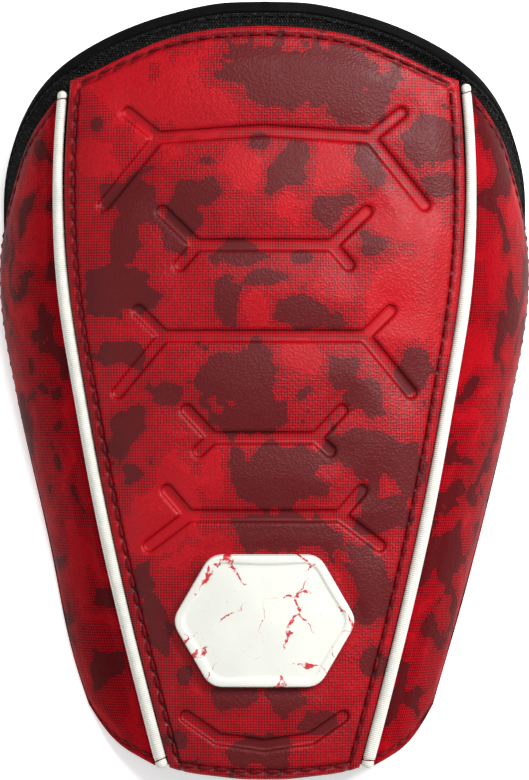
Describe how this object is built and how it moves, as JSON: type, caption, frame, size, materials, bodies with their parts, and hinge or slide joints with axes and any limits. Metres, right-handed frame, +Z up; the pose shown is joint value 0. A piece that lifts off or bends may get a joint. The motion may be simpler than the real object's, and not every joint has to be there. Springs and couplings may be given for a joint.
{
  "type": "elbow guard",
  "caption": "Padded half-shell sports guard for the elbow and forearm, with a printed cover, corded seams, a knitted lining and elastic straps.",
  "frame": {"origin": "middle of the footprint, on the plane that the guard rests on", "axes": "+X to the guard's right seen from above, +Y towards the wide elbow end, +Z up out of the printed face"},
  "size_m": [0.1372, 0.1914, 0.0576],
  "materials": {
    "cover": "synthetic leather, pebbled, printed with a two-tone camouflage in fine dots",
    "wing_cover": "the same printed synthetic leather, turned away from the light",
    "cord": "white knitted piping cord",
    "knit": "black ribbed knit over padding",
    "tape": "black binding tape",
    "rubber": "white moulded rubber with red marbling",
    "elastic": "black woven elastic"
  },
  "bodies": {
    "root": {"centre_panel": "cover", "left_wing": "wing_cover", "right_wing": "wing_cover", "left_piping": "cord", "right_piping": "cord", "lining": "knit", "rim_binding": "tape", "badge": "rubber", "upper_strap": "elastic", "lower_strap": "elastic"}
  },
  "joints": []
}
